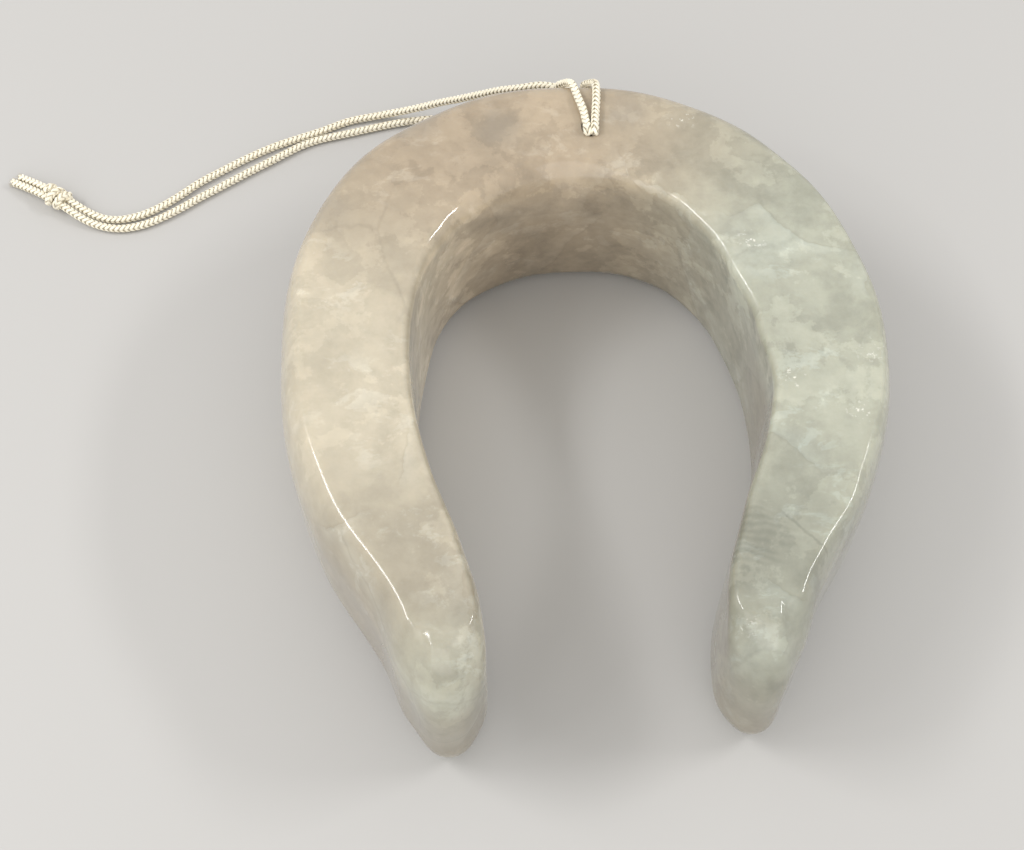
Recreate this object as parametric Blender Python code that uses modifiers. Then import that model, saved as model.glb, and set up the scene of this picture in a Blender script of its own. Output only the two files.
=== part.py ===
"""Singing stone: a solid quartz horseshoe chime with a doubled braided cord.

Units are metres and +Z is up. The stone lies flat on Z = 0 with its crown towards +Y and its two
tips towards -Y. The origin is the bottom centre of the stone. One cord runs through a slanted hole
in the crown. Its closed end comes out of the top face, spreads over the crown's outer edge and
closes round its own two strands, which leave the outer wall, drop to the surface and lie to the
left. An overhand knot ties the two strands together just before their cut ends.
"""
import math

import bmesh
import bpy
from mathutils import Matrix, Vector

# Stone
STONE_THICKNESS = 0.070
EDGE_RADIUS = 0.012
EDGE_STEPS = 2
OUTLINE_STEPS = 5
CROWN_WALL_Y = 0.115

# Cord and its hole
CORD_RADIUS = 0.0015
SOLID_GAP = 0.0003
HOLE_RADIUS = 0.0037
HOLE_SIDES = 20
HOLE_X = 0.0081
HOLE_MOUTH_Y = 0.0845
HOLE_SLOPE = math.radians(45)
HOLE_CUT_LENGTH = 0.080
HOLE_CUT_START = 0.012
LIP_REACH = HOLE_RADIUS / math.sin(HOLE_SLOPE)
TOP_LIP_Y = HOLE_MOUTH_Y + LIP_REACH
WALL_LIP_Z = STONE_THICKNESS - (CROWN_WALL_Y - HOLE_MOUTH_Y) + LIP_REACH

# Hitch
STRAND_OFFSET = CORD_RADIUS + SOLID_GAP / 2
CORD_STANDOFF = CORD_RADIUS + SOLID_GAP
HITCH_HALF_WIDTH = 0.0047
SWING_AXIS_Y = 0.1215
SWING_CLEARANCE = 0.0019
STUB_Z = WALL_LIP_Z - HOLE_RADIUS

# Free strands, their knot and their cut ends
POINT_SPACING = 0.0075
KNOT_LENGTH = 0.0100
KNOT_WIDTH = 0.0090
KNOT_HEIGHT = 0.0078
KNOT_SIDES = 16
KNOT_EDGE = 0.0020
KNOT_GAP = 0.0006
KNOT_CENTRE = (-0.1918, 0.1182, 0.0042)
KNOT_HEADING = math.radians(146)
END_LENGTH = 0.0140

# Outline of the stone seen from above: points on its edge, clockwise from the top of the crown
OUTER_RIGHT = [(0.000, 0.115), (0.050, 0.101), (0.079, 0.0725), (0.094, 0.039), (0.0998, -0.003),
               (0.087, -0.049), (0.067, -0.081), (0.057, -0.102)]
RIGHT_TIP = [(0.0475, -0.1127)]
INNER_RIGHT = [(0.038, -0.107), (0.035, -0.090), (0.0435, -0.0595), (0.0545, -0.032),
               (0.059, -0.004), (0.054, 0.031), (0.044, 0.0525), (0.028, 0.0665)]
INNER_CROWN = [(0.002, 0.072)]
INNER_LEFT = [(-0.025, 0.0675), (-0.0435, 0.0535), (-0.0535, 0.026), (-0.0568, -0.004),
              (-0.052, -0.038), (-0.0428, -0.067), (-0.038, -0.088), (-0.0393, -0.105)]
LEFT_TIP = [(-0.0505, -0.115)]
OUTER_LEFT = [(-0.0625, -0.1035), (-0.070, -0.085), (-0.0905, -0.049), (-0.1002, 0.002),
              (-0.087, 0.067), (-0.048, 0.105)]
OUTLINE = (OUTER_RIGHT + RIGHT_TIP + INNER_RIGHT + INNER_CROWN + INNER_LEFT + LEFT_TIP
           + OUTER_LEFT)

# Routes of the free strands, from the hitch to the knot
BACK_ROUTE = [(0.0078, 0.1237, 0.0427), (0.0064, 0.1261, 0.0426), (0.0040, 0.1281, 0.0421),
              (0.0004, 0.1299, 0.0411), (-0.0057, 0.1328, 0.0392), (-0.0130, 0.1345, 0.0362),
              (-0.0204, 0.1378, 0.0315), (-0.0279, 0.1413, 0.0255), (-0.0355, 0.1447, 0.0195),
              (-0.0433, 0.1480, 0.0138), (-0.0512, 0.1505, 0.0085), (-0.0593, 0.1521, 0.0046),
              (-0.0673, 0.1525, 0.0024), (-0.0793, 0.1509, 0.0016), (-0.0911, 0.1463, 0.0016),
              (-0.0990, 0.1436, 0.0016), (-0.1088, 0.1400, 0.0016), (-0.1185, 0.1353, 0.0016),
              (-0.1281, 0.1298, 0.0016), (-0.1376, 0.1240, 0.0016), (-0.1451, 0.1182, 0.0016),
              (-0.1526, 0.1131, 0.0016), (-0.1601, 0.1096, 0.0016), (-0.1673, 0.1082, 0.0016),
              (-0.1737, 0.1090, 0.0018), (-0.1800, 0.1119, 0.0027)]
FRONT_ROUTE = [(0.0077, 0.1237, 0.0391), (0.0060, 0.1259, 0.0386), (0.0033, 0.1278, 0.0372),
               (-0.0008, 0.1296, 0.0347), (-0.0080, 0.1326, 0.0298), (-0.0170, 0.1367, 0.0222),
               (-0.0260, 0.1412, 0.0142), (-0.0345, 0.1457, 0.0075), (-0.0425, 0.1488, 0.0032),
               (-0.0505, 0.1499, 0.0017), (-0.0595, 0.1490, 0.0016), (-0.0694, 0.1471, 0.0016),
               (-0.0793, 0.1449, 0.0016), (-0.0911, 0.1424, 0.0016), (-0.0990, 0.1394, 0.0016),
               (-0.1087, 0.1338, 0.0016), (-0.1184, 0.1282, 0.0016), (-0.1279, 0.1225, 0.0016),
               (-0.1374, 0.1168, 0.0016), (-0.1449, 0.1120, 0.0016), (-0.1524, 0.1078, 0.0016),
               (-0.1598, 0.1049, 0.0016), (-0.1675, 0.1040, 0.0016), (-0.1748, 0.1055, 0.0018),
               (-0.1818, 0.1089, 0.0027)]

# Colours, linear RGB
QUARTZ_COLOUR = (0.56, 0.52, 0.42)
CORD_COLOUR = (0.80, 0.76, 0.65)


def clear_scene():
    for thing in list(bpy.data.objects):
        bpy.data.objects.remove(thing, do_unlink=True)


def new_collection(name):
    collection = bpy.data.collections.new(name)
    bpy.context.scene.collection.children.link(collection)
    return collection


def make_material(name, colour, roughness):
    """A plain finish with no metal in it."""
    material = bpy.data.materials.new(name)
    material.use_nodes = True
    shader = material.node_tree.nodes["Principled BSDF"]
    shader.inputs["Base Color"].default_value = (*colour, 1.0)
    shader.inputs["Roughness"].default_value = roughness
    shader.inputs["Metallic"].default_value = 0.0
    return material


def move_to(thing, collection):
    for owner in list(thing.users_collection):
        owner.objects.unlink(thing)
    collection.objects.link(thing)


def hang_on(thing, empty):
    """Parent a piece to an empty and leave it where it is."""
    thing.parent = empty
    thing.matrix_parent_inverse = empty.matrix_world.inverted()


def smooth_route(points, spacing):
    """Evenly spaced points on a smooth curve through the given points."""
    nodes = [Vector(p) for p in points]
    nodes = [nodes[0] * 2 - nodes[1]] + nodes + [nodes[-1] * 2 - nodes[-2]]
    steps = 24
    fine = []
    for before, start, end, after in zip(nodes, nodes[1:], nodes[2:], nodes[3:]):
        for step in range(steps):
            t = step / steps
            fine.append(0.5 * (2 * start + (end - before) * t
                               + (2 * before - 5 * start + 4 * end - after) * t ** 2
                               + (3 * start - before - 3 * end + after) * t ** 3))
    fine.append(nodes[-2])
    reach = [0.0]
    for a, b in zip(fine, fine[1:]):
        reach.append(reach[-1] + (b - a).length)
    runs = max(1, round(reach[-1] / spacing))
    route, i = [], 0
    for k in range(runs + 1):
        target = reach[-1] * k / runs
        while i < len(fine) - 2 and reach[i + 1] < target:
            i += 1
        share = (target - reach[i]) / (reach[i + 1] - reach[i])
        route.append(fine[i].lerp(fine[i + 1], share))
    return route


def mesh_from_curve(curve_object, name, collection):
    """A closed mesh object that takes the place of a curve object."""
    depsgraph = bpy.context.evaluated_depsgraph_get()
    mesh = bpy.data.meshes.new_from_object(curve_object.evaluated_get(depsgraph))
    work = bmesh.new()
    work.from_mesh(mesh)
    bmesh.ops.remove_doubles(work, verts=work.verts, dist=0.000001)
    bmesh.ops.recalc_face_normals(work, faces=work.faces)
    work.to_mesh(mesh)
    work.free()
    made = bpy.data.objects.new(name, mesh)
    made.matrix_world = curve_object.matrix_world
    collection.objects.link(made)
    bpy.data.objects.remove(curve_object, do_unlink=True)
    return made


def make_hole_cutter(cutters):
    """The slanted bore, from the crown's top face down to its outer wall."""
    along = Vector((0.0, math.cos(HOLE_SLOPE), -math.sin(HOLE_SLOPE)))
    mouth = Vector((HOLE_X, HOLE_MOUTH_Y, STONE_THICKNESS))
    bpy.ops.mesh.primitive_cylinder_add(vertices=HOLE_SIDES, radius=HOLE_RADIUS,
                                        depth=HOLE_CUT_LENGTH)
    cutter = bpy.context.object
    cutter.name = "hole_cutter"
    cutter.location = mouth + along * (HOLE_CUT_LENGTH / 2 - HOLE_CUT_START)
    cutter.rotation_euler = along.to_track_quat("Z", "X").to_euler()
    cutter.hide_render = True
    cutter.display_type = "WIRE"
    move_to(cutter, cutters)
    return cutter


def make_stone(parts, cutters, material):
    """The horseshoe: a flat outline with rounded edges, cut by the slanted bore."""
    curve = bpy.data.curves.new("horseshoe_outline", "CURVE")
    curve.dimensions = "2D"
    curve.fill_mode = "BOTH"
    curve.resolution_u = OUTLINE_STEPS
    curve.bevel_depth = EDGE_RADIUS
    curve.bevel_resolution = EDGE_STEPS
    curve.offset = -EDGE_RADIUS
    curve.extrude = STONE_THICKNESS / 2 - EDGE_RADIUS
    spline = curve.splines.new("BEZIER")
    spline.bezier_points.add(len(OUTLINE) - 1)
    spline.use_cyclic_u = True
    for point, (x, y) in zip(spline.bezier_points, OUTLINE):
        point.co = (x, y, 0.0)
        point.handle_left_type = "AUTO"
        point.handle_right_type = "AUTO"
    outline = bpy.data.objects.new("horseshoe_outline", curve)
    parts.objects.link(outline)
    bpy.context.view_layer.update()
    stone = mesh_from_curve(outline, "quartz_horseshoe", parts)

    corners = [vertex.co for vertex in stone.data.vertices]
    low = Vector(min(co[axis] for co in corners) for axis in range(3))
    high = Vector(max(co[axis] for co in corners) for axis in range(3))
    foot = Vector(((low.x + high.x) / 2, (low.y + high.y) / 2, low.z))
    stone.data.transform(Matrix.Translation(-foot))

    cut = stone.modifiers.new("cord_hole", "BOOLEAN")
    cut.operation = "DIFFERENCE"
    cut.solver = "EXACT"
    cut.object = make_hole_cutter(cutters)
    stone.data.shade_smooth()
    stone.data.set_sharp_from_angle(angle=math.radians(35))
    stone.data.materials.append(material)
    return stone


def make_tube(name, route, parts, material):
    """A round cord with flat ends along a route."""
    curve = bpy.data.curves.new(name, "CURVE")
    curve.dimensions = "3D"
    curve.bevel_depth = CORD_RADIUS
    curve.bevel_resolution = 2
    curve.use_fill_caps = True
    spline = curve.splines.new("POLY")
    spline.points.add(len(route) - 1)
    for point, place in zip(spline.points, route):
        point.co = (*place, 1.0)
    curve.materials.append(material)
    tube = bpy.data.objects.new(name, curve)
    parts.objects.link(tube)
    return tube


def arc(centre, radius, start, end, steps):
    """Points in the Y-Z plane round a centre, with angles in degrees from +Y towards +Z."""
    points = []
    for step in range(steps + 1):
        angle = math.radians(start + (end - start) * step / steps)
        points.append((centre[0] + radius * math.cos(angle), centre[1] + radius * math.sin(angle)))
    return points


def hitch_half(side):
    """Half of the hitch, from the end of one strand's stub to the bottom of the loop.

    side is -1 for the left leg, whose stub is the upper one, and 1 for the right leg.
    """
    lift = -side * STRAND_OFFSET
    route = [Vector((HOLE_X, SWING_AXIS_Y - SWING_CLEARANCE, STUB_Z + lift))]

    # round the wall's lip into the bore
    for y, z in arc((CROWN_WALL_Y, WALL_LIP_Z), HOLE_RADIUS - lift, -90, -135, 1):
        route.append(Vector((HOLE_X, y, z)))

    # up the bore: the strands turn from one above the other to side by side
    low_y = CROWN_WALL_Y - HOLE_RADIUS * math.cos(HOLE_SLOPE)
    high_y = TOP_LIP_Y - HOLE_RADIUS * math.cos(HOLE_SLOPE)
    for share in (1 / 3, 2 / 3):
        turn = math.radians(90 * share)
        y = low_y + (high_y - low_y) * share
        z = STONE_THICKNESS + HOLE_MOUTH_Y - y
        slant = lift * math.cos(turn) * math.sqrt(0.5)
        route.append(Vector((HOLE_X + side * STRAND_OFFSET * math.sin(turn), y + slant, z + slant)))

    # round the top face's lip, out along the V, and over the crown's rounded edge
    for y, z in arc((TOP_LIP_Y, STONE_THICKNESS), HOLE_RADIUS, 225, 90, 3):
        route.append(Vector((HOLE_X + side * STRAND_OFFSET, y, z)))
    leg_x = HOLE_X + side * HITCH_HALF_WIDTH
    edge_centre = (CROWN_WALL_Y - EDGE_RADIUS, STONE_THICKNESS - EDGE_RADIUS)
    for y, z in arc(edge_centre, EDGE_RADIUS + CORD_STANDOFF, 90, 0, 4):
        route.append(Vector((leg_x, y, z)))

    # down the wall and round under the two strands
    loop_low_z = STUB_Z - STRAND_OFFSET - CORD_RADIUS - CORD_STANDOFF
    loop_centre_z = loop_low_z + HITCH_HALF_WIDTH
    for angle in (0, 45, 90):
        turn = math.radians(angle)
        route.append(Vector((leg_x + side * HITCH_HALF_WIDTH * (math.cos(turn) - 1),
                             CROWN_WALL_Y + CORD_STANDOFF,
                             loop_centre_z - HITCH_HALF_WIDTH * math.sin(turn))))
    return route


def make_hitch(parts, material):
    """The closed end of the cord, from one strand's stub to the other's."""
    left = hitch_half(-1)
    right = hitch_half(1)
    return make_tube("hitch_loop", left + right[-2::-1], parts, material)


def knot_face(end, side):
    """Where a strand meets one end of the knot. end is -1 at the strands and 1 at the cut ends."""
    ahead = Vector((math.cos(KNOT_HEADING), math.sin(KNOT_HEADING), 0.0))
    across = Vector((ahead.y, -ahead.x, 0.0))
    return (Vector(KNOT_CENTRE) + ahead * end * (KNOT_LENGTH / 2 + KNOT_GAP)
            + across * side * STRAND_OFFSET)


def make_strands(parts, material):
    """The two free strands, from the swing axis to the knot."""
    made = []
    for name, route, side in (("cord_strand_back", BACK_ROUTE, 1),
                              ("cord_strand_front", FRONT_ROUTE, -1)):
        start = (HOLE_X, SWING_AXIS_Y + SOLID_GAP / 2, STUB_Z + side * STRAND_OFFSET)
        whole = smooth_route([start] + route + [knot_face(-1, side)], POINT_SPACING)
        made.append(make_tube(name, whole, parts, material))
    return made


def make_knot(parts, material):
    """The tight overhand knot, as one barrel along the cord."""
    bpy.ops.mesh.primitive_cylinder_add(vertices=KNOT_SIDES, radius=0.5, depth=1.0)
    knot = bpy.context.object
    knot.name = "end_knot"
    shape = Matrix.Diagonal((KNOT_HEIGHT, KNOT_WIDTH, KNOT_LENGTH, 1.0))
    knot.data.transform(Matrix.Rotation(math.radians(90), 4, "Y") @ shape)
    knot.location = KNOT_CENTRE
    knot.rotation_euler = (0.0, 0.0, KNOT_HEADING)
    bevel = knot.modifiers.new("soft_ends", "BEVEL")
    bevel.width = KNOT_EDGE
    bevel.segments = 2
    bevel.angle_limit = math.radians(50)
    knot.data.shade_smooth()
    knot.data.materials.append(material)
    move_to(knot, parts)
    return knot


def make_cut_ends(parts, material):
    """The two short ends that stick out of the knot."""
    ahead = Vector((math.cos(KNOT_HEADING), math.sin(KNOT_HEADING), 0.0))
    made = []
    for name, side in (("cord_end_back", 1), ("cord_end_front", -1)):
        first = knot_face(1, side)
        route = [first + ahead * END_LENGTH * share for share in (0.0, 0.5, 1.0)]
        made.append(make_tube(name, route, parts, material))
    return made


def main():
    clear_scene()
    parts = new_collection("singing_stone")
    cutters = new_collection("cutters")
    quartz = make_material("milky_quartz", QUARTZ_COLOUR, 0.12)
    braid = make_material("braided_cord", CORD_COLOUR, 0.75)

    make_stone(parts, cutters, quartz)
    make_hitch(parts, braid)

    swing = bpy.data.objects.new("cord_swing_axis", None)
    swing.location = (HOLE_X, SWING_AXIS_Y, 0.0)
    parts.objects.link(swing)
    bpy.context.view_layer.update()
    moving = make_strands(parts, braid) + [make_knot(parts, braid)] + make_cut_ends(parts, braid)
    for piece in moving:
        hang_on(piece, swing)


main()
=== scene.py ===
"""The looks of the singing stone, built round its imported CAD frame. Metres, +Z up."""
import math
import random

import bmesh
import bpy
import numpy as np
from mathutils import Matrix, Vector, noise


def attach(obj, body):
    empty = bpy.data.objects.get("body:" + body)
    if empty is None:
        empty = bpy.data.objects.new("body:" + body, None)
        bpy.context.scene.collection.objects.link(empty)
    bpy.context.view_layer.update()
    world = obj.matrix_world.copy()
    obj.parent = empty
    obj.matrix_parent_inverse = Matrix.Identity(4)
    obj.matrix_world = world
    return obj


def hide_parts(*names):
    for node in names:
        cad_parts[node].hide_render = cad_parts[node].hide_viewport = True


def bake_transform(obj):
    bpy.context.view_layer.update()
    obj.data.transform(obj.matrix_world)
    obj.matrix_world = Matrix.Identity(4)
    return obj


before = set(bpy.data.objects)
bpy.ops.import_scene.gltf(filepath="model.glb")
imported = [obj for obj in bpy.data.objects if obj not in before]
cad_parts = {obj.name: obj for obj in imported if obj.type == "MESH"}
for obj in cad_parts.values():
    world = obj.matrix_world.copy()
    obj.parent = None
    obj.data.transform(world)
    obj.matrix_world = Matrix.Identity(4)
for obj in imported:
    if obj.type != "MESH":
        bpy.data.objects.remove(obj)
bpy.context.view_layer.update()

# Stone
THICKNESS = 0.070
OUTLINE_STEPS = 16
STATIONS = 220
TIP_STEPS = 40
WALL_ROWS = 12
EDGE_ROWS = 16
FACE_ROWS = 6

# Rounding of the top edge, as (share of the way from the right tip to the left one, across, down)
OUTER_TOP_EDGE = [(0.00, 0.0070, 0.0260), (0.030, 0.0052, 0.0260), (0.055, 0.0046, 0.0260),
                  (0.085, 0.0062, 0.0260), (0.25, 0.0060, 0.0260), (0.42, 0.0130, 0.0260),
                  (0.58, 0.0140, 0.0260), (0.70, 0.0095, 0.0260), (1.00, 0.0085, 0.0260)]
INNER_TOP_EDGE = [(0.00, 0.0030, 0.0055), (0.10, 0.0025, 0.0038), (0.26, 0.0028, 0.0038),
                  (0.38, 0.0035, 0.0050), (0.415, 0.0042, 0.0065), (0.505, 0.0140, 0.0250), (0.57, 0.0100, 0.0150),
                  (0.62, 0.0080, 0.0100),
                  (0.68, 0.0060, 0.0080), (0.75, 0.0030, 0.0042), (0.92, 0.0028, 0.0042),
                  (1.00, 0.0040, 0.0080)]
OUTER_LOW_EDGE = [(0.00, 0.0105, 0.0150), (0.12, 0.0140, 0.0260), (0.88, 0.0140, 0.0260),
                  (1.00, 0.0105, 0.0150)]
INNER_LOW_EDGE = [(0.00, 0.0105, 0.0150), (0.12, 0.0060, 0.0080), (0.88, 0.0060, 0.0080),
                  (1.00, 0.0105, 0.0150)]
TIP_TOP_EDGE = (0.0190, 0.0330)
TIP_LOW_EDGE = (0.0105, 0.0150)
# How far the inner wall leans in at its top, as (share, distance)
INNER_LEAN = [(0.00, 0.0), (0.13, 0.0), (0.20, 0.0035), (0.26, 0.0058), (0.33, 0.0070), (0.60, 0.0072),
              (0.67, 0.0050), (0.76, 0.0), (1.00, 0.0)]
WAVE_HEIGHT = 0.00035
WAVE_FREQUENCY = 26.0

# Cord
CORD_DIAMETER = 0.003
CORD_RADIUS = CORD_DIAMETER / 2
CARRIERS = 4
BRAID_PICK = 0.00185
YARN_SIDES = 8
YARN_STEP = 0.00034
STRAND_OFFSET = 0.00165
HOLE_X = 0.0081
HOLE_TOP_Y = 0.0873
HOLE_BACK = (0.1150, 0.0415)
HOLE_RADIUS = 0.0030
STUB_Z = 0.0410
CROWN_Y = 0.1150

# Outline of the stone seen from above, clockwise from the top of the crown
OUTER_RIGHT = [(0.000, 0.115), (0.050, 0.101), (0.079, 0.0725), (0.094, 0.039), (0.0998, -0.003),
               (0.087, -0.049), (0.067, -0.081), (0.057, -0.102)]
RIGHT_TIP = [(0.0475, -0.1127)]
INNER_RIGHT = [(0.038, -0.107), (0.035, -0.090), (0.0435, -0.0595), (0.0545, -0.032),
               (0.059, -0.004), (0.054, 0.031), (0.044, 0.0525), (0.028, 0.0665)]
INNER_CROWN = [(0.002, 0.072)]
INNER_LEFT = [(-0.025, 0.0675), (-0.0435, 0.0535), (-0.0535, 0.026), (-0.0568, -0.004),
              (-0.052, -0.038), (-0.0428, -0.067), (-0.038, -0.088), (-0.0393, -0.105)]
LEFT_TIP = [(-0.0505, -0.115)]
OUTER_LEFT = [(-0.0625, -0.1035), (-0.070, -0.085), (-0.0905, -0.049), (-0.1002, 0.002),
              (-0.087, 0.067), (-0.048, 0.105)]
OUTLINE = (OUTER_RIGHT + RIGHT_TIP + INNER_RIGHT + INNER_CROWN + INNER_LEFT + LEFT_TIP
           + OUTER_LEFT)
RIGHT_TIP_OUTER = 6.375
RIGHT_TIP_INNER = 10.0
LEFT_TIP_INNER = 24.125
LEFT_TIP_OUTER = 27.6875

# Routes of the free strands, from the hitch to the knot
BACK_ROUTE = [(0.0078, 0.1237, 0.0427), (0.0064, 0.1261, 0.0426), (0.0040, 0.1281, 0.0421),
              (0.0004, 0.1299, 0.0411), (-0.0057, 0.1328, 0.0392), (-0.0130, 0.1345, 0.0362),
              (-0.0204, 0.1378, 0.0315), (-0.0279, 0.1413, 0.0255), (-0.0355, 0.1447, 0.0195),
              (-0.0433, 0.1480, 0.0138), (-0.0512, 0.1505, 0.0085), (-0.0593, 0.1521, 0.0046),
              (-0.0673, 0.1525, 0.0024), (-0.0793, 0.1509, 0.0016), (-0.0911, 0.1463, 0.0016),
              (-0.0990, 0.1436, 0.0016), (-0.1088, 0.1400, 0.0016), (-0.1185, 0.1353, 0.0016),
              (-0.1281, 0.1298, 0.0016), (-0.1376, 0.1240, 0.0016), (-0.1451, 0.1182, 0.0016),
              (-0.1526, 0.1131, 0.0016), (-0.1601, 0.1096, 0.0016), (-0.1673, 0.1082, 0.0016),
              (-0.1737, 0.1090, 0.0018), (-0.1800, 0.1119, 0.0027)]
FRONT_ROUTE = [(0.0077, 0.1237, 0.0391), (0.0060, 0.1259, 0.0386), (0.0033, 0.1278, 0.0372),
               (-0.0008, 0.1296, 0.0347), (-0.0080, 0.1326, 0.0298), (-0.0170, 0.1367, 0.0222),
               (-0.0260, 0.1412, 0.0142), (-0.0345, 0.1457, 0.0075), (-0.0425, 0.1488, 0.0032),
               (-0.0505, 0.1499, 0.0017), (-0.0595, 0.1490, 0.0016), (-0.0694, 0.1471, 0.0016),
               (-0.0793, 0.1449, 0.0016), (-0.0911, 0.1424, 0.0016), (-0.0990, 0.1394, 0.0016),
               (-0.1087, 0.1338, 0.0016), (-0.1184, 0.1282, 0.0016), (-0.1279, 0.1225, 0.0016),
               (-0.1374, 0.1168, 0.0016), (-0.1449, 0.1120, 0.0016), (-0.1524, 0.1078, 0.0016),
               (-0.1598, 0.1049, 0.0016), (-0.1675, 0.1040, 0.0016), (-0.1748, 0.1055, 0.0018),
               (-0.1818, 0.1089, 0.0027)]
KNOT_CENTRE = (-0.1918, 0.1182, 0.0042)
KNOT_HEADING = math.radians(146)
KNOT_HALF = 0.0056
FRAY_COUNT = 26

# Colours
CREAM_QUARTZ = (0.535, 0.482, 0.375, 1)
GREEN_QUARTZ = (0.418, 0.424, 0.345, 1)
WARM_QUARTZ = (0.378, 0.307, 0.221, 1)
VEIL_GAIN = (1.250, 1.310, 1.400, 1)
SHADE_QUARTZ = (0.290, 0.255, 0.205, 1)
# colour of the painted glints
PAINTED_GLINT_QUARTZ = (0.920, 0.900, 0.840, 1)
# the rippled fracture on the right leg, and the line that x * 1.15 + y = FRACTURE_REACH draws beside it
RIPPLE_PLACE = (0.0450, -0.0720, 0.070)
RIPPLE_SPACING = 0.0026
FRACTURE_PLACE = (0.0600, -0.0700, 0.070)
FRACTURE_REACH = 0.0010
# where the stone has dark smudges, and clusters of painted glints
SMUDGES = ((0.021, 0.093, 0.069), (-0.083, 0.057, 0.068), (-0.052, 0.091, 0.069), (-0.023, 0.088, 0.070))
PAINTED_GLINT_CLUSTERS = ((0.083, -0.030, 0.069), (0.090, -0.008, 0.068), (0.064, -0.016, 0.070),
                  (0.058, 0.037, 0.070), (0.040, 0.089, 0.069), (0.038, -0.100, 0.069))
# colour of the painted shade on the walls
PAINTED_WALL_SHADE = (0.230, 0.190, 0.145, 1)
CREAM_YARN = (0.975, 0.925, 0.780, 1)
YARN_SHADE = (0.830, 0.755, 0.580, 1)
# colours of the painted shade between the yarns, in the braid and in the knot
PAINTED_YARN_GAP_SHADE = (0.400, 0.345, 0.235, 1)
PAINTED_KNOT_GAP_SHADE = (0.620, 0.560, 0.430, 1)

scene = bpy.context.scene


def link(thing):
    scene.collection.objects.link(thing)
    return thing


def mesh_object(name, vertices, faces, material):
    mesh = bpy.data.meshes.new(name)
    mesh.from_pydata([tuple(v) for v in vertices], [], [tuple(f) for f in faces])
    mesh.update()
    mesh.shade_smooth()
    mesh.materials.append(material)
    return link(bpy.data.objects.new(name, mesh))


# --- Cords -----------------------------------------------------------------------------------

def smooth_route(points, spacing):
    """Evenly spaced points on a smooth curve through the given points, as an array."""
    nodes = np.array(points, float)
    nodes = np.vstack([2 * nodes[0] - nodes[1], nodes, 2 * nodes[-1] - nodes[-2]])
    t = np.linspace(0, 1, 40, endpoint=False)[:, None]
    fine = []
    for before, start, end, after in zip(nodes, nodes[1:], nodes[2:], nodes[3:]):
        fine.append(0.5 * (2 * start + (end - before) * t
                           + (2 * before - 5 * start + 4 * end - after) * t ** 2
                           + (3 * start - before - 3 * end + after) * t ** 3))
    fine = np.vstack(fine + [nodes[-2][None]])
    reach = np.concatenate([[0], np.cumsum(np.linalg.norm(np.diff(fine, axis=0), axis=1))])
    count = max(2, int(round(reach[-1] / spacing)) + 1)
    at = np.linspace(0, reach[-1], count)
    return np.stack([np.interp(at, reach, fine[:, k]) for k in range(3)], axis=1)


def moving_frames(route, up=(0.0, 0.0, 1.0), level=()):
    """Tangent, normal and side at each point, carried along without twist.

    At the places in level, given as shares of the route, the normal is turned back to face up.
    """
    tangents = np.gradient(route, axis=0)
    tangents /= np.linalg.norm(tangents, axis=1)[:, None]
    normal = np.array(up, float)
    normals = []
    for tangent in tangents:
        normal = normal - tangent * normal.dot(tangent)
        normal /= np.linalg.norm(normal)
        normals.append(normal)
    normals = np.array(normals)
    sides = np.cross(tangents, normals)
    if level:
        keys = [int(share * (len(route) - 1)) for share in level]
        turns = [math.atan2(sides[k][2], normals[k][2]) for k in keys]
        turn = np.interp(np.arange(len(route)), keys, turns)[:, None]
        normals, sides = (normals * np.cos(turn) + sides * np.sin(turn),
                          sides * np.cos(turn) - normals * np.sin(turn))
    return tangents, normals, sides


def braid(route, radius=CORD_RADIUS, start=0.0, flare=0.0, level=()):
    """Vertices, faces and yarn coordinates of a round herringbone braid of 2 x CARRIERS yarns.

    start shifts the pattern along the cord. flare opens the yarns at the far end.
    """
    _, normals, sides = moving_frames(route, level=level)
    step = np.linalg.norm(np.diff(route, axis=0), axis=1)
    along = np.concatenate([[0], np.cumsum(step)])
    lay = BRAID_PICK * CARRIERS
    thick = radius * 0.50
    wide = BRAID_PICK * 0.34
    swing = radius * 0.24
    middle = radius - swing - thick * 0.52
    ring = np.linspace(0, 2 * math.pi, YARN_SIDES, endpoint=False)
    section = np.stack([np.sign(np.cos(ring)) * np.abs(np.cos(ring)) ** 0.8 * wide,
                        np.sign(np.sin(ring)) * np.abs(np.sin(ring)) ** 0.8 * thick / 2], axis=1)
    vertices, faces, coordinates = [], [], []
    base = 0
    for turn in (1, -1):
        for carrier in range(CARRIERS):
            angle = turn * (2 * math.pi * (along + start) / lay) + 2 * math.pi * carrier / CARRIERS
            wave = np.tanh(2.2 * np.sin(2 * angle)) / math.tanh(2.2)
            reach = middle + turn * swing * wave
            if flare:
                reach = reach * (1 + flare * np.clip(1 - (along[-1] - along) / (2 * radius), 0, 1) ** 2)
            out = np.cos(angle)[:, None] * normals + np.sin(angle)[:, None] * sides
            line = route + out * reach[:, None]
            heading = np.gradient(line, axis=0)
            heading /= np.linalg.norm(heading, axis=1)[:, None]
            across = np.cross(heading, out)
            across /= np.linalg.norm(across, axis=1)[:, None]
            lift = np.cross(across, heading)
            body = (line[:, None, :] + across[:, None, :] * section[None, :, 0, None]
                    + lift[:, None, :] * section[None, :, 1, None])
            rows = len(line)
            vertices.append(body.reshape(-1, 3))
            index = base + np.arange(rows * YARN_SIDES).reshape(rows, YARN_SIDES)
            following = np.roll(index, -1, axis=1)
            quads = np.stack([index[:-1], following[:-1], following[1:], index[1:]], axis=-1)
            faces += quads.reshape(-1, 4).tolist()
            faces.append(index[0][::-1].tolist())
            faces.append(index[-1].tolist())
            u = np.repeat(along, YARN_SIDES)
            v = np.tile(0.45 * np.sin(ring), rows)
            coordinates.append(np.stack([u, v + carrier + 10 * turn], axis=1))
            base += rows * YARN_SIDES
    return np.vstack(vertices), faces, np.vstack(coordinates)


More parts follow.
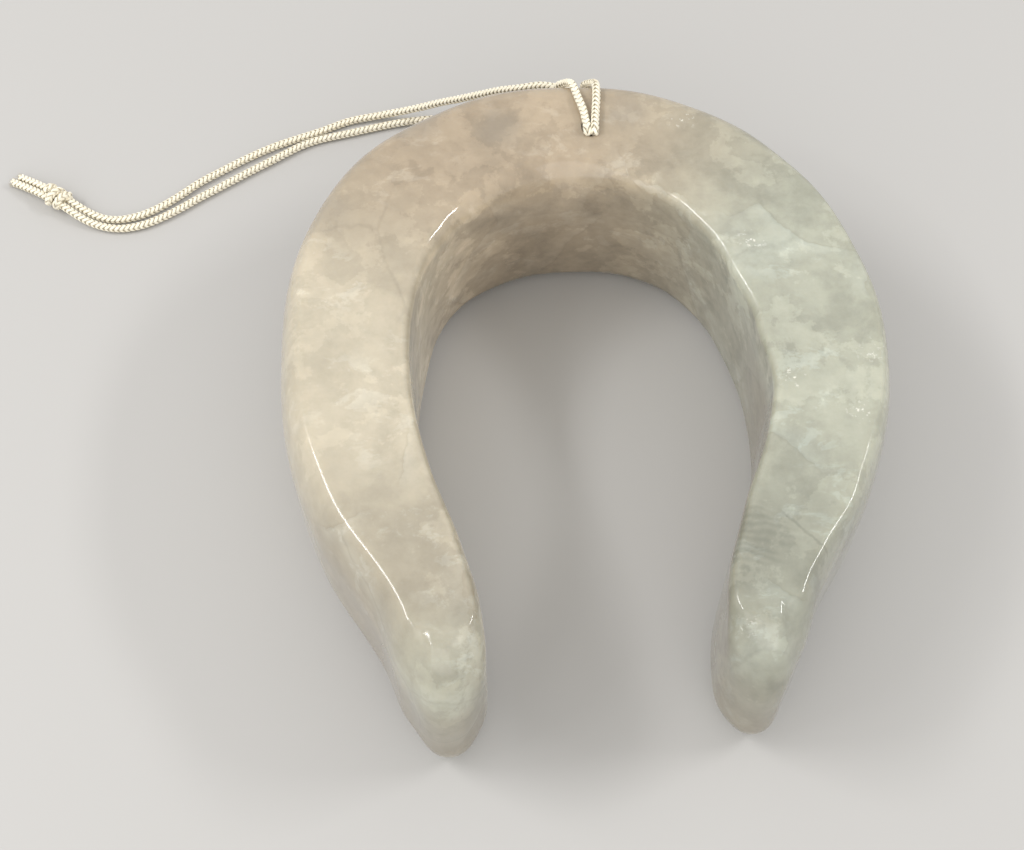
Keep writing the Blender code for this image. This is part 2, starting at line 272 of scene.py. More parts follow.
def braid_object(name, route, material, **options):
    vertices, faces, coordinates = braid(route, **options)
    thing = mesh_object(name, vertices, faces, material)
    layer = thing.data.uv_layers.new(name="yarn")
    corners = np.zeros(len(thing.data.loops), np.int32)
    thing.data.loops.foreach_get("vertex_index", corners)
    layer.data.foreach_set("uv", coordinates[corners].astype(np.float32).ravel())
    fix_normals(thing)
    return thing


def fix_normals(thing):
    work = bmesh.new()
    work.from_mesh(thing.data)
    bmesh.ops.recalc_face_normals(work, faces=work.faces)
    work.to_mesh(thing.data)
    work.free()


# --- Stone -----------------------------------------------------------------------------------

def dense_outline():
    """The stone's outline as many points, centred, with its own point k at place k * OUTLINE_STEPS."""
    curve = bpy.data.curves.new("outline", "CURVE")
    curve.dimensions = "2D"
    curve.fill_mode = "NONE"
    curve.resolution_u = OUTLINE_STEPS
    spline = curve.splines.new("BEZIER")
    spline.bezier_points.add(len(OUTLINE) - 1)
    spline.use_cyclic_u = True
    for point, (x, y) in zip(spline.bezier_points, OUTLINE):
        point.co = (x, y, 0.0)
        point.handle_left_type = "AUTO"
        point.handle_right_type = "AUTO"
    thing = link(bpy.data.objects.new("outline", curve))
    bpy.context.view_layer.update()
    mesh = thing.evaluated_get(bpy.context.evaluated_depsgraph_get()).to_mesh()
    points = np.array([v.co[:2] for v in mesh.vertices])
    bpy.data.objects.remove(thing, do_unlink=True)
    bpy.data.curves.remove(curve)
    return points - (points.min(0) + points.max(0)) / 2


def resample(points, count):
    reach = np.concatenate([[0], np.cumsum(np.linalg.norm(np.diff(points, axis=0), axis=1))])
    at = np.linspace(0, reach[-1], count)
    return np.stack([np.interp(at, reach, points[:, k]) for k in range(points.shape[1])], axis=1)


def between(points, first, last):
    """Points of the closed outline from one place to another, given as anchor numbers."""
    total = len(points)
    i, j = int(round(first * OUTLINE_STEPS)), int(round(last * OUTLINE_STEPS))
    step = 1 if j > i else -1
    return points[np.arange(i, j + step, step) % total]


def blur(values, passes):
    values = np.array(values, float)
    for _ in range(passes):
        values[1:-1] = (values[:-2] + 2 * values[1:-1] + values[2:]) / 4
    return values


def spread(table, share):
    """Values of a table of (share, value, ...) rows at every share, eased between the rows."""
    rows = np.array(table)
    columns = []
    for column in rows.T[1:]:
        place = np.clip(np.searchsorted(rows[:, 0], share, side="right") - 1, 0, len(rows) - 2)
        t = (share - rows[place, 0]) / (rows[place + 1, 0] - rows[place, 0])
        t = t * t * (3 - 2 * t)
        columns.append(column[place] * (1 - t) + column[place + 1] * t)
    return np.stack(columns, axis=1)


def stone_rings():
    """Points round the outline, their partners on the body's middle line, edge sizes and lean."""
    points = dense_outline()
    outer = resample(between(points, RIGHT_TIP_OUTER, LEFT_TIP_OUTER - len(OUTLINE)), STATIONS + 1)
    inner = resample(between(points, RIGHT_TIP_INNER, LEFT_TIP_INNER), 8 * STATIONS + 1)
    nearest = np.array([np.argmin(np.linalg.norm(inner - p, axis=1)) for p in outer], float)
    nearest[0], nearest[-1] = 0, len(inner) - 1
    nearest = blur(np.maximum.accumulate(nearest), 60)
    inner = np.stack([np.interp(nearest, np.arange(len(inner)), inner[:, k]) for k in (0, 1)], axis=1)
    middle = (outer + inner) / 2
    left_tip = resample(between(points, LEFT_TIP_OUTER, LEFT_TIP_INNER), TIP_STEPS + 1)[1:-1]
    right_tip = resample(between(points, RIGHT_TIP_INNER, RIGHT_TIP_OUTER), TIP_STEPS + 1)[1:-1]
    loop = np.vstack([outer, left_tip, inner[::-1], right_tip])
    core = np.concatenate([np.arange(STATIONS + 1), np.full(len(left_tip), STATIONS),
                           np.arange(STATIONS, -1, -1), np.zeros(len(right_tip), int)])
    share = np.linspace(0, 1, STATIONS + 1)
    tip_share = np.linspace(0, 1, TIP_STEPS + 1)[1:-1, None]
    nose = np.sin(math.pi * tip_share) ** 1.6
    edges = []
    for outer_edge, inner_edge, tip_edge in ((OUTER_TOP_EDGE, INNER_TOP_EDGE, TIP_TOP_EDGE),
                                             (OUTER_LOW_EDGE, INNER_LOW_EDGE, TIP_LOW_EDGE)):
        out_size, in_size = spread(outer_edge, share), spread(inner_edge, share)
        left_size = out_size[-1] * (1 - tip_share) + in_size[-1] * tip_share
        right_size = in_size[0] * (1 - tip_share) + out_size[0] * tip_share
        left_size = left_size * (1 - nose) + np.array(tip_edge) * nose
        right_size = right_size * (1 - nose) + np.array(tip_edge) * nose
        edges.append(np.vstack([out_size, left_size, in_size[::-1], right_size]))
    lean = np.zeros(len(loop))
    inner_first = STATIONS + 1 + len(left_tip)
    lean[inner_first:inner_first + STATIONS + 1] = spread(INNER_LEAN, share)[::-1, 0]
    return loop, middle, core, edges, lean


def edge_rows(size, width):
    """Inset and depth below the face of each ring, from the middle of a face to the wall."""
    flat = np.minimum(size[:, 0], width * 0.95)
    rings = []
    for row in range(FACE_ROWS - 1, 0, -1):
        rings.append((flat + (width - flat) * row / FACE_ROWS, np.zeros(len(width))))
    for row in range(EDGE_ROWS + 1):
        turn = math.pi / 2 * (1 - row / EDGE_ROWS)
        rings.append((flat * (1 - math.cos(turn)), size[:, 1] * (1 - math.sin(turn))))
    return rings


def make_stone(material):
    """The horseshoe: rings from the middle of the top, out, down the wall and under the base."""
    loop, middle, core, edges, lean = stone_rings()
    count = len(loop)
    partner = middle[core]
    width = np.linalg.norm(partner - loop, axis=1)
    top = edge_rows(edges[0], width)
    low = edge_rows(edges[1], width)
    whole = [(inset, THICKNESS - depth) for inset, depth in top]
    for row in range(1, WALL_ROWS):
        share = row / WALL_ROWS
        whole.append((np.zeros(count), whole[len(top) - 1][1] * (1 - share) + low[-1][1] * share))
    whole += low[::-1]
    vertices = []
    for inset, height in whole:
        reach = (inset - lean * height / THICKNESS) / width
        vertices.append(np.column_stack([loop + (partner - loop) * reach[:, None], height]))
    vertices = np.vstack(vertices)
    faces = []
    for row in range(len(whole) - 1):
        for k in range(count):
            n = (k + 1) % count
            faces.append((row * count + k, row * count + n, (row + 1) * count + n, (row + 1) * count + k))
    for height, row, flip in ((THICKNESS, 0, False), (0.0, len(whole) - 1, True)):
        first = len(vertices)
        vertices = np.vstack([vertices, np.column_stack([middle, np.full(len(middle), height)])])
        for k in range(count):
            n = (k + 1) % count
            face = [row * count + k, first + core[k], first + core[n], row * count + n]
            if core[k] == core[n]:
                face = [row * count + k, first + core[k], row * count + n]
            faces.append(face[::-1] if flip else face)
    stone = mesh_object("quartz_stone", vertices, faces, material)
    fix_normals(stone)
    faces_out = [vertex.normal.copy() for vertex in stone.data.vertices]
    for vertex, out in zip(stone.data.vertices, faces_out):
        place = vertex.co.copy()
        if place.z > 0.001:
            swell = noise.noise(place * WAVE_FREQUENCY) * WAVE_HEIGHT * (1 - 0.6 * abs(out.z))
            vertex.co = place + out * swell
    bore(stone)
    return stone


def bore(stone):
    """Cuts the slanted hole for the cord, from the top face to the back wall."""
    top = Vector((HOLE_X, HOLE_TOP_Y, THICKNESS))
    back = Vector((HOLE_X, *HOLE_BACK))
    work = bmesh.new()
    bmesh.ops.create_cone(work, cap_ends=True, segments=48, radius1=HOLE_RADIUS, radius2=HOLE_RADIUS,
                          depth=(top - back).length + 0.016)
    slant = (top - back).to_track_quat("Z", "X").to_matrix().to_4x4()
    bmesh.ops.transform(work, matrix=Matrix.Translation((top + back) / 2) @ slant, verts=work.verts)
    mesh = bpy.data.meshes.new("bore")
    work.to_mesh(mesh)
    work.free()
    cutter = link(bpy.data.objects.new("bore", mesh))
    cut = stone.modifiers.new("bore", "BOOLEAN")
    cut.object = cutter
    bpy.context.view_layer.update()
    graph = bpy.context.evaluated_depsgraph_get()
    solid = bpy.data.meshes.new_from_object(stone.evaluated_get(graph))
    stone.modifiers.clear()
    stone.data = solid
    solid.set_sharp_from_angle(angle=math.radians(40))
    bpy.data.objects.remove(cutter, do_unlink=True)


# --- Materials -------------------------------------------------------------------------------

class Nodes:
    """Short ways to add nodes to a material and join them."""

    def __init__(self, name):
        self.material = bpy.data.materials.new(name)
        self.material.use_nodes = True
        self.tree = self.material.node_tree
        self.shader = self.tree.nodes["Principled BSDF"]

    def put(self, socket, value):
        if isinstance(value, bpy.types.NodeSocket):
            self.tree.links.new(value, socket)
        elif value is not None:
            socket.default_value = value

    def finish(self, **values):
        """Sets or links the shader's own sockets, named with _ for a space."""
        for name, value in values.items():
            self.put(self.shader.inputs[name.replace("_", " ")], value)
        return self.material

    def place(self, output="Object"):
        return self.tree.nodes.new("ShaderNodeTexCoord").outputs[output]

    def parts(self, vector):
        node = self.tree.nodes.new("ShaderNodeSeparateXYZ")
        self.put(node.inputs[0], vector)
        return node.outputs

    def math(self, operation, *values, clamp=False):
        node = self.tree.nodes.new("ShaderNodeMath")
        node.operation = operation
        node.use_clamp = clamp
        for socket, value in zip(node.inputs, values):
            self.put(socket, value)
        return node.outputs[0]

    def vector(self, operation, *values, output=0):
        node = self.tree.nodes.new("ShaderNodeVectorMath")
        node.operation = operation
        for socket, value in zip(node.inputs, values):
            self.put(socket, value)
        return node.outputs[output]

    def scaled(self, vector, scale, location=(0, 0, 0), rotation=(0, 0, 0)):
        node = self.tree.nodes.new("ShaderNodeMapping")
        self.put(node.inputs["Vector"], vector)
        self.put(node.inputs["Scale"], scale)
        self.put(node.inputs["Location"], location)
        self.put(node.inputs["Rotation"], rotation)
        return node.outputs[0]

    def noise(self, vector, scale, detail=3.0, roughness=0.5, distortion=0.0, kind="FBM",
              output="Fac", gain=1.0):
        node = self.tree.nodes.new("ShaderNodeTexNoise")
        node.noise_type = kind
        self.put(node.inputs["Vector"], vector)
        self.put(node.inputs["Scale"], scale)
        self.put(node.inputs["Detail"], detail)
        self.put(node.inputs["Roughness"], roughness)
        self.put(node.inputs["Distortion"], distortion)
        if kind == "RIDGED_MULTIFRACTAL":
            self.put(node.inputs["Offset"], 0.9)
            self.put(node.inputs["Gain"], gain)
        return node.outputs[output]

    def cells(self, vector, scale, feature="F1", output="Distance"):
        node = self.tree.nodes.new("ShaderNodeTexVoronoi")
        node.feature = feature
        self.put(node.inputs["Vector"], vector)
        self.put(node.inputs["Scale"], scale)
        return node.outputs[output]

    def near(self, place, spots, ragged, inner, outer):
        """1 within inner of any of the spots, 0 beyond outer, with a ragged border."""
        share = 0.0
        for spot in spots:
            away = self.vector("DISTANCE", place, spot, output="Value")
            away = self.math("MULTIPLY_ADD", ragged, outer, self.math("SUBTRACT", away, outer / 2))
            share = self.math("MAXIMUM", share, self.step(away, inner, outer, 1.0, 0.0))
        return share

    def step(self, value, low, high, start=0.0, end=1.0):
        """start below low, end above high, and a soft change between them."""
        node = self.tree.nodes.new("ShaderNodeMapRange")
        node.interpolation_type = "SMOOTHSTEP"
        for socket, number in zip(node.inputs, (value, low, high, start, end)):
            self.put(socket, number)
        return node.outputs[0]

    def mix(self, share, first, second, blend="MIX"):
        node = self.tree.nodes.new("ShaderNodeMix")
        node.data_type = "RGBA"
        node.blend_type = blend
        self.put(node.inputs[0], share)
        self.put(node.inputs[6], first)
        self.put(node.inputs[7], second)
        return node.outputs[2]

    def bump(self, height, distance, strength=1.0, normal=None):
        node = self.tree.nodes.new("ShaderNodeBump")
        self.put(node.inputs["Height"], height)
        self.put(node.inputs["Distance"], distance)
        self.put(node.inputs["Strength"], strength)
        self.put(node.inputs["Normal"], normal)
        return node.outputs[0]


def make_quartz():
    """Polished milky quartz: cloudy veils, healed fractures, painted glints, painted shade darkening the walls,
    most of all the lower ones, and painted light on the left inner wall.
    """
    make = Nodes("milky_quartz")
    place = make.place()
    x, y, z = make.parts(place)

    # the stone's own slow change of tone: warm crown, cream left leg, grey-green right leg
    tone_wobble = make.noise(place, 16.0, 3.0, 0.55)
    from_warm = make.vector("DISTANCE", make.scaled(place, (1.0, 1.25, 0.25)), (-0.026, 0.112, 0.015),
                            output="Value")
    warm = make.step(make.math("ADD", from_warm, make.math("MULTIPLY", tone_wobble, -0.035)),
                     0.005, 0.105, 1.0, 0.0)
    green = make.step(make.math("ADD", x, make.math("MULTIPLY", tone_wobble, 0.05)), -0.03, 0.085)
    green_tip = make.step(y, -0.112, -0.078, 0.75, 0.0)
    green = make.math("MAXIMUM", green, green_tip)
    tone = make.mix(green, CREAM_QUARTZ, GREEN_QUARTZ)
    tone = make.mix(warm, tone, WARM_QUARTZ)

    facing = make.place("Normal")
    wall = make.step(make.math("ABSOLUTE", make.parts(facing)[2]), 0.05,
                     make.step(y, 0.02, 0.06, 0.45, 0.88), 1.0, 0.0)
    inward = make.step(make.vector("DOT_PRODUCT", place, facing, output="Value"), -0.03, 0.02, 1.0, 0.0)

    # milky clouds, ragged patches and a fine mottle, calmer on the left leg, stronger on the inner wall
    clouds = make.step(make.noise(place, 24.0, 4.0, 0.55), 0.34, 0.66)
    patches = make.step(make.noise(place, 64.0, 7.0, 0.62, 0.2), 0.40, 0.60)
    islands = make.step(make.noise(make.scaled(place, (1, 1, 1), (5.2, 2.3, 1.1)), 38.0, 9.0, 0.64, 0.15),
                        0.53, 0.562)
    mottle = make.noise(place, 190.0, 6.0, 0.66)
    cloudy = make.math("MULTIPLY", clouds, 0.11)
    cloudy = make.math("MULTIPLY_ADD", patches, 0.12, cloudy)
    cloudy = make.math("MULTIPLY_ADD", islands, 0.12, cloudy)
    cloudy = make.math("MULTIPLY_ADD", mottle, 0.32, cloudy)
    cloudy = make.math("SUBTRACT", cloudy, 0.315)
    contrast = make.math("MULTIPLY_ADD", make.math("MULTIPLY", wall, inward), 0.5, make.step(
        x, -0.085, -0.035, 0.70, 1.05))
    light = make.math("MULTIPLY_ADD", cloudy, contrast, 0.935)
    legs = make.math("MULTIPLY", make.step(y, -0.076, -0.028, 1.0, 0.0),
                     make.math("SUBTRACT", 1.0, make.math("MULTIPLY", make.step(y, -0.104, -0.082, 1.0, 0.0),
                                                          make.step(x, -0.02, 0.02, 0.62, 0.35))))
    light = make.math("MULTIPLY", light, make.math("MULTIPLY_ADD", legs, -0.29, 1.0))
    tone = make.mix(1.0, tone, light, "MULTIPLY")

    # feathery white wisps, gathered in places
    wisps = make.step(make.noise(make.scaled(place, (0.8, 1.35, 1.0), rotation=(0.3, 0.2, 0.9)),
                                 82.0, 8.0, 0.68, 0.35), 0.53, 0.61)
    wisp_mask = make.step(make.noise(place, 27.0, 2.0, 0.5), 0.42, 0.58)
    wisp_share = make.math("MULTIPLY", make.math("MULTIPLY", wisps, wisp_mask), 0.50)
    tone = make.mix(wisp_share, tone, make.mix(1.0, tone, VEIL_GAIN, "MULTIPLY"))

    # healed fractures: thin lines, each with one lighter side
    crack_place = make.vector("ADD", place, make.vector("SCALE", make.noise(place, 40.0, 4.0, 0.6,
                                                                           output="Color"), None, None, 0.013))
    crack = make.cells(crack_place, 21.0, "DISTANCE_TO_EDGE")
    lighter = make.math("GREATER_THAN", make.parts(make.cells(crack_place, 21.0, output="Color"))[0], 0.5)
    crack_mask = make.step(make.noise(make.scaled(place, (1, 1, 1), (3.1, 1.7, 0.4)), 21.0, 2.0), 0.48, 0.60)
    crack_mask = make.math("MAXIMUM", crack_mask, make.math("MULTIPLY", make.math("MULTIPLY", wall, inward), 0.75))
    line = make.math("MULTIPLY", make.step(crack, 0.0, 0.022, 1.0, 0.0), crack_mask)
    side = make.math("MULTIPLY", make.math("MULTIPLY", make.step(crack, 0.0, 0.17, 1.0, 0.0), crack_mask),
                     lighter)
    tone = make.mix(make.math("MULTIPLY", side, 0.40), tone, make.mix(1.0, tone, VEIL_GAIN, "MULTIPLY"))
    tone = make.mix(1.0, tone, make.math("MULTIPLY_ADD", line, -0.085, 1.0), "MULTIPLY")

    # one rippled fracture low on the right leg, and the dark line beside it
    ragged = make.noise(place, 150.0, 5.0, 0.7)
    ripple_mask = make.near(place, [RIPPLE_PLACE], ragged, 0.006, 0.015)
    across_ripples = make.math("MULTIPLY_ADD", x, 0.25, y)
    across_ripples = make.math("MULTIPLY_ADD", make.noise(place, 75.0, 2.0), 0.0085, across_ripples)
    ripples = make.math("SINE", make.math("MULTIPLY", across_ripples, 2 * math.pi / RIPPLE_SPACING))
    ripple_share = make.math("MULTIPLY", make.math("MULTIPLY_ADD", ripples, 0.055, 0.065), ripple_mask)
    tone = make.mix(1.0, tone, make.math("SUBTRACT", 1.0, ripple_share), "MULTIPLY")
    beside = make.math("ABSOLUTE", make.math("ADD", make.math("MULTIPLY_ADD", x, 1.15, y), make.math(
        "MULTIPLY_ADD", ragged, 0.004, -FRACTURE_REACH)))
    fracture = make.math("MULTIPLY", make.step(beside, 0.0002, 0.0011, 1.0, 0.0),
                         make.near(place, [FRACTURE_PLACE], ragged, 0.006, 0.012))
    tone = make.mix(1.0, tone, make.math("MULTIPLY_ADD", fracture, -0.18, 1.0), "MULTIPLY")

    # dark smudges, and clusters of painted glints: white flecks of painted highlight
    smudge = make.near(place, SMUDGES, ragged, 0.003, 0.011)
    tone = make.mix(make.math("MULTIPLY", smudge, 0.42), tone, SHADE_QUARTZ)
    glint_cluster = make.near(place, PAINTED_GLINT_CLUSTERS, ragged, 0.0005, 0.0062)
    painted_glint = make.step(make.noise(place, 680.0, 3.0, 0.62), 0.575, 0.65)
    painted_glint = make.math("MULTIPLY", painted_glint, glint_cluster)
    tone = make.mix(make.math("MULTIPLY", painted_glint, 0.55), tone, PAINTED_GLINT_QUARTZ)

    # painted shade: walls darker than the top, most of all low on the inner ones; painted light lifts the left
    # inner wall
    depth = make.step(make.math("ADD", z, make.math("MULTIPLY", tone_wobble, 0.02)), 0.012, 0.078, 1.0, 0.0)
    left_side = make.math("MULTIPLY", make.step(x, -0.050, -0.010, 1.0, 0.0), inward)
    # painted light: the left inner wall made lighter
    painted_left_wall_light = make.math("MULTIPLY_ADD", make.math("MULTIPLY", left_side, wall), 0.42, 1.0)
    tone = make.mix(1.0, tone, painted_left_wall_light, "MULTIPLY")
    right_side = make.math("MULTIPLY", make.step(x, 0.028, 0.044), inward)
    # how strong the painted wall shade is: less on the left and right inner walls, more low down
    strength = make.math("MULTIPLY_ADD", left_side, -0.20, 0.25)
    strength = make.math("MULTIPLY_ADD", right_side, -0.10, strength)
    strength = make.math("MULTIPLY", strength, make.math("MULTIPLY_ADD", depth, 0.75, 0.25))
    # painted shade on the right inner wall, low down and towards the tip
    near_tip = make.step(y, -0.045, -0.015, 1.0, 0.0)
    painted_right_wall_shade = make.math("MULTIPLY", right_side, make.math("MULTIPLY", make.math(
        "MAXIMUM", make.step(z, 0.048, 0.060, 1.0, 0.0), near_tip), make.step(y, -0.045, 0.035, 0.75, 0.05)))
    strength = make.math("ADD", painted_right_wall_shade, strength)
    # painted shade low on the outer walls towards the tips
    outward = make.math("SUBTRACT", 1.0, inward)
    painted_low_outer_shade = make.math("MULTIPLY", make.math("MULTIPLY", outward, depth), make.step(y, -0.10, -0.05, 0.45, 0.0))
    strength = make.math("ADD", painted_low_outer_shade, strength)
    tone = make.mix(make.math("MULTIPLY", strength, wall), tone, PAINTED_WALL_SHADE)

    waves = make.noise(place, 55.0, 2.0, 0.4)
    fine = make.noise(place, 900.0, 2.0, 0.5)
    normal = make.bump(waves, 0.0006, 0.22)
    normal = make.bump(line, 0.00005, 0.4, normal)
    polish = make.math("MULTIPLY_ADD", fine, 0.05, 0.035)
    return make.finish(Base_Color=tone, Roughness=polish, IOR=1.54, Normal=normal,
                       Subsurface_Weight=0.35, Subsurface_Radius=(1.0, 0.85, 0.65), Subsurface_Scale=0.012)


def make_cord_material(name, colour, shade, gap_shade):
    """Soft cream yarn: fine fibres along each yarn, matt, a little uneven in tone, with painted shade in the gaps
    between yarns.
    """
    make = Nodes(name)
    yarn = make.place("UV")
    place = make.place()
    fibres = make.noise(make.scaled(yarn, (900.0, 14.0, 1.0)), 1.0, 3.0, 0.6)
    tufts = make.noise(place, 700.0, 3.0, 0.6)
    tone = make.mix(make.step(fibres, 0.30, 0.72), shade, colour)
    tone = make.mix(make.math("MULTIPLY", make.step(tufts, 0.55, 0.35), 0.30), tone, shade)
    # painted shade: each yarn darkened towards its sides, where the yarns meet
    round_yarn = make.parts(yarn)[1]
    crest = make.math("SUBTRACT", round_yarn, make.math("FLOOR", make.math("ADD", round_yarn, 0.5)))
    tone = make.mix(make.step(crest, 0.03, 0.38), gap_shade, tone)
    normal = make.bump(fibres, 0.00012, 0.7)
    return make.finish(Base_Color=tone, Roughness=0.72, Normal=normal, Sheen_Weight=0.25,
                       Sheen_Roughness=0.5, Subsurface_Weight=0.15,
                       Subsurface_Radius=(1.0, 0.9, 0.7), Subsurface_Scale=0.0008)


quartz = make_quartz()
cream = make_cord_material("cream_braid", CREAM_YARN, YARN_SHADE, PAINTED_YARN_GAP_SHADE)
tight_cream = make_cord_material("tight_cream_braid", CREAM_YARN, YARN_SHADE, PAINTED_KNOT_GAP_SHADE)

stone = make_stone(quartz)

ahead = np.array([math.cos(KNOT_HEADING), math.sin(KNOT_HEADING), 0.0])
across = np.array([ahead[1], -ahead[0], 0.0])
upward = np.array([0.0, 0.0, 1.0])
strands = []
for name, points, side in (("strand_back", BACK_ROUTE, 1), ("strand_front", FRONT_ROUTE, -1)):
    begin = [(HOLE_X, y, STUB_Z + side * STRAND_OFFSET) for y in (0.1140, 0.1180, 0.1217)]
    finish = tuple(np.array(KNOT_CENTRE) - ahead * KNOT_HALF * 0.4 + across * side * STRAND_OFFSET)
    route = smooth_route(begin + points + [finish], YARN_STEP)
    strand = braid_object(name, route, cream)
    strands.append((strand, route))


def over_crown(x, turn):
    """The cord's middle where it lies on the crown's rounded back edge, turn degrees up it."""
    across_size, down_size = 0.0137, 0.026
    turn = math.radians(turn)
    out = Vector((math.cos(turn) / across_size, math.sin(turn) / down_size)).normalized()
    y = CROWN_Y - 5.6 * x * x - across_size * (1 - math.cos(turn))
    z = THICKNESS - down_size * (1 - math.sin(turn))
    lift = CORD_RADIUS + 0.0001
    return (x, y + out.x * lift, z + out.y * lift)


def in_bore(side, share):
    """The middle of one of the two cords in the hole, share of the way from the back to the top."""
    turn = math.pi / 2 * min(1.0, max(0.0, (share - 0.05) / 0.45))
    top = Vector((HOLE_X, HOLE_TOP_Y, THICKNESS))
    back = Vector((HOLE_X, *HOLE_BACK))
    line = top - back
    over = Vector((0.0, line.z, -line.y)).normalized()
    place = back.lerp(top, share)
    place += over * (-side * 0.0015 * math.cos(turn)) + Vector((side * 0.00145 * math.sin(turn), 0, 0))
    return tuple(place)


def make_hitch(material):
    """The doubled end of the cord: up the hole, over the crown and round under the strands."""
    left = [in_bore(-1, share) for share in (0.04, 0.2, 0.35, 0.5, 0.65, 0.8, 0.89)]
    left += [(0.00690, 0.0873, 0.0688), (0.00705, 0.0850, 0.0700), (0.00710, 0.0845, 0.0710),
             (0.00700, 0.0858, 0.07165), (0.00675, 0.0887, 0.0716), (0.0062, 0.0935, 0.0716),
             (0.0050, 0.0985, 0.0716), over_crown(0.0036, 76), over_crown(0.0025, 62),
             over_crown(0.0008, 50), over_crown(-0.0011, 40), over_crown(-0.0023, 24),
             (-0.0020, 0.1166, 0.0490), (-0.0010, 0.1168, 0.0430), (0.0012, 0.1172, 0.0385)]
    right = [in_bore(1, share) for share in (0.04, 0.2, 0.35, 0.5, 0.65, 0.8, 0.89)]
    right += [(0.00940, 0.0871, 0.0689), (0.00945, 0.0848, 0.0701), (0.00950, 0.0843, 0.0711),
              (0.00960, 0.0856, 0.07175), (0.0099, 0.0887, 0.0717), (0.0106, 0.0940, 0.0716),
              (0.0112, 0.0990, 0.0716), over_crown(0.0116, 76), over_crown(0.0114, 62),
              over_crown(0.0098, 50), over_crown(0.0084, 40), over_crown(0.0092, 24),
              (0.0105, 0.1163, 0.0490), (0.0115, 0.1166, 0.0430), (0.0112, 0.1170, 0.0385)]
    bottom = [(0.0040, 0.1176, 0.0357), (0.0078, 0.1178, 0.0350)]
    route = smooth_route(left + bottom + right[::-1], YARN_STEP)
    return braid_object("hitch", route, material, level=(0.33, 0.67))


def make_knot(material):
    """Two and a bit tight turns round the pair of strands."""
    turns, wide, high, pitch = 2.35, 0.0030, 0.0025, 0.0041
    start = math.radians(-35)
    points = []
    for step in range(73):
        share = step / 72
        angle = start + 2 * math.pi * turns * share
        tuck = min(1.0, share / 0.08, (1 - share) / 0.08)
        tuck = 0.45 + 0.55 * tuck * (2 - tuck)
        along = (share - 0.5) * pitch * turns * 0.92
        points.append(np.array(KNOT_CENTRE) + ahead * along + across * (wide * tuck * math.cos(angle))
                      + upward * (high * tuck * math.sin(angle)))
    return braid_object("knot", smooth_route(points, YARN_STEP), material, radius=0.00155)


def make_cut_end(name, side, tip, material):
    """A short end past the knot. tip is how far it goes along, across and below the knot's middle."""
    along, sideways, drop = tip
    points = []
    for share in (0.0, 0.2, 0.4, 0.6, 0.8, 1.0):
        reach = 0.0012 + (along - 0.0012) * share
        turn = side * STRAND_OFFSET * (1 - share) + sideways * share
        points.append(np.array(KNOT_CENTRE) + ahead * reach + across * turn
                      - upward * drop * share * share)
    route = smooth_route(points, YARN_STEP)
    return braid_object(name, route, material, start=0.002 * side, flare=0.16), route


def make_frays(name, route, seed, material):
    """Loose fibre ends past a cut end of cord."""
    pick = random.Random(seed)
    tangents, normals, sides = moving_frames(route)
    vertices, faces = [], []
    for _ in range(FRAY_COUNT):
        angle = pick.uniform(0, 2 * math.pi)
        reach = CORD_RADIUS * math.sqrt(pick.uniform(0.1, 1.1))
        out = normals[-1] * math.cos(angle) + sides[-1] * math.sin(angle)
        first = route[-1] + out * reach - tangents[-1] * 0.0006
        length = pick.uniform(0.0010, 0.0021)
        lean_out = out * pick.uniform(0.0, 0.45) + upward * pick.uniform(-0.1, 0.2)
        points = []
        for share in (0.0, 0.33, 0.66, 1.0):
            points.append(first + tangents[-1] * length * share + lean_out * length * share * share)
        line = np.array(points)
        base = len(vertices)
        _, line_normals, line_sides = moving_frames(line, up=tuple(out))
        for k, point in enumerate(line):
            thick = 0.00010 * (1 - 0.55 * k / 3)
            for corner in range(5):
                turn = 2 * math.pi * corner / 5
                vertices.append(point + (line_normals[k] * math.cos(turn)
                                         + line_sides[k] * math.sin(turn)) * thick)
        for k in range(3):
            for corner in range(5):
                n = (corner + 1) % 5
                faces.append((base + 5 * k + corner, base + 5 * k + n,
                              base + 5 * k + 5 + n, base + 5 * k + 5 + corner))
        faces.append(tuple(base + corner for corner in range(4, -1, -1)))
        faces.append(tuple(base + 15 + corner for corner in range(5)))
    frays = mesh_object(name, vertices, faces, material)
    fix_normals(frays)
    return frays


hitch = make_hitch(cream)
knot = make_knot(tight_cream)
cut_ends = []
for name, side, tip in (("cut_end_back", 1, (0.0196, 0.0016, 0.0024)),
                        ("cut_end_front", -1, (0.0204, -0.0017, 0.0024))):
    piece, route = make_cut_end(name, side, tip, cream)
    frays = make_frays(name.replace("cut_end", "frays"), route, 7 + side, cream)
    cut_ends.append((piece, frays))

# --- Stage -----------------------------------------------------------------------------------

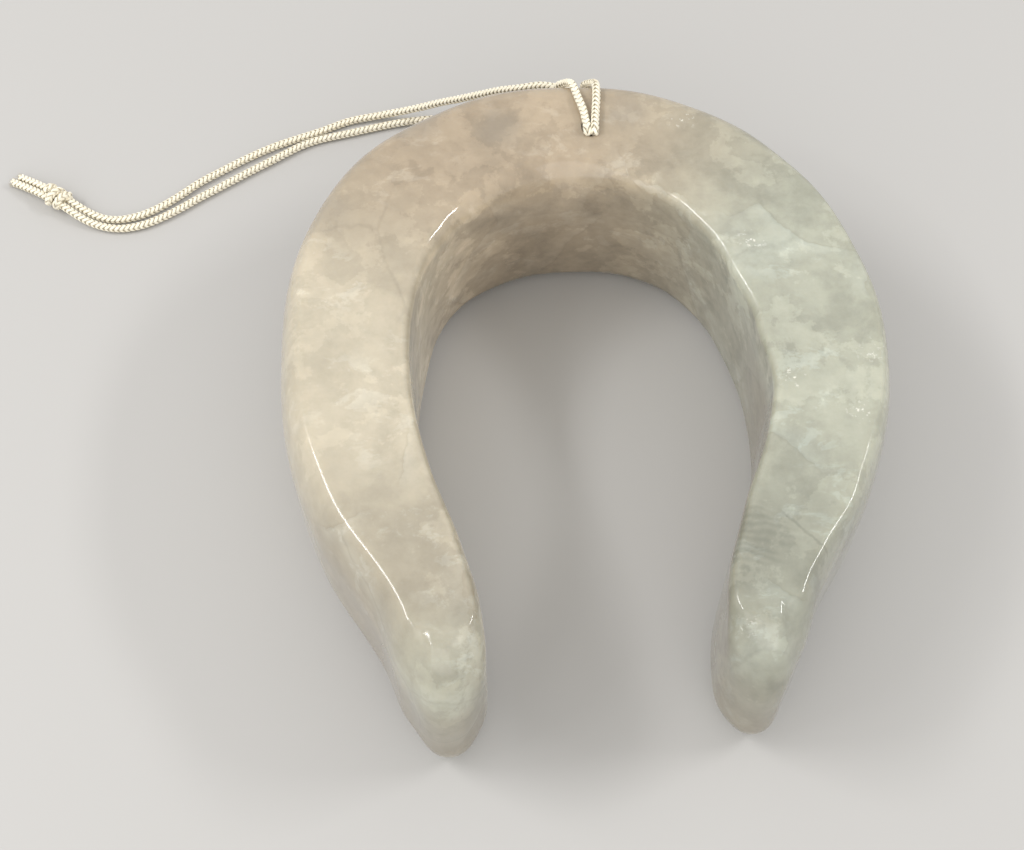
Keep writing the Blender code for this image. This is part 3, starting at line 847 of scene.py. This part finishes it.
bpy.ops.mesh.primitive_plane_add(size=6, location=(0, 0, -0.0002))
floor = bpy.context.object
floor.name = "floor"
floor_make = Nodes("pale_floor")
floor.data.materials.append(floor_make.finish(Base_Color=(0.46, 0.452, 0.44, 1), Roughness=0.55))


def add_softbox(name, direction, distance, size, power, target=(0.0, 0.0, 0.03)):
    light = bpy.data.lights.new(name, "AREA")
    light.shape = "RECTANGLE"
    light.size, light.size_y = size
    light.energy = power
    lamp = link(bpy.data.objects.new(name, light))
    place = Vector(direction).normalized() * distance
    lamp.location = Vector(target) + place
    lamp.rotation_euler = place.to_track_quat("Z", "Y").to_euler()
    return lamp


add_softbox("key_left", (-0.63, 0.11, 0.74), 1.6, (0.62, 0.22), 6.0)
add_softbox("key_left_glow", (-0.63, 0.11, 0.74), 1.6, (0.80, 0.60), 3.5)
add_softbox("key_right", (0.70, 0.06, 0.68), 1.6, (0.52, 0.18), 6.5)
add_softbox("key_front_left", (-0.58, -0.22, 0.70), 1.6, (0.24, 0.10), 1.4)
add_softbox("front_fill", (-0.10, -0.82, 0.57), 2.2, (3.4, 2.2), 21)
world = bpy.data.worlds.new("studio")
world.use_nodes = True
world.node_tree.nodes["Background"].inputs["Color"].default_value = (1.0, 0.985, 0.96, 1)
world.node_tree.nodes["Background"].inputs["Strength"].default_value = 0.85
scene.world = world
scene.view_settings.view_transform = "Standard"

camera_data = bpy.data.cameras.new("camera")
camera_data.sensor_width = 36.0
camera_data.lens = 60.29
camera = link(bpy.data.objects.new("camera", camera_data))
camera.location = (-0.0409, -0.2883, 0.5352)
camera.rotation_euler = (math.radians(90 - 60.78), 0.0, math.radians(-3.37))
scene.camera = camera

# --- What each piece is ----------------------------------------------------------------------

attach(stone, "stone")
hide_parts("quartz_horseshoe")
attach(hitch, "stone")
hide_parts("hitch_loop")
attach(knot, "cord")
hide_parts("end_knot")
for (piece, frays), node in zip(cut_ends, ("cord_end_back", "cord_end_front")):
    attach(piece, "cord")
    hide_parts(node)
    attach(frays, "cord")
for (strand, route), node, ends in zip(strands, ("cord_strand_back", "cord_strand_front"), cut_ends):
    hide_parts(node)
    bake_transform(strand)
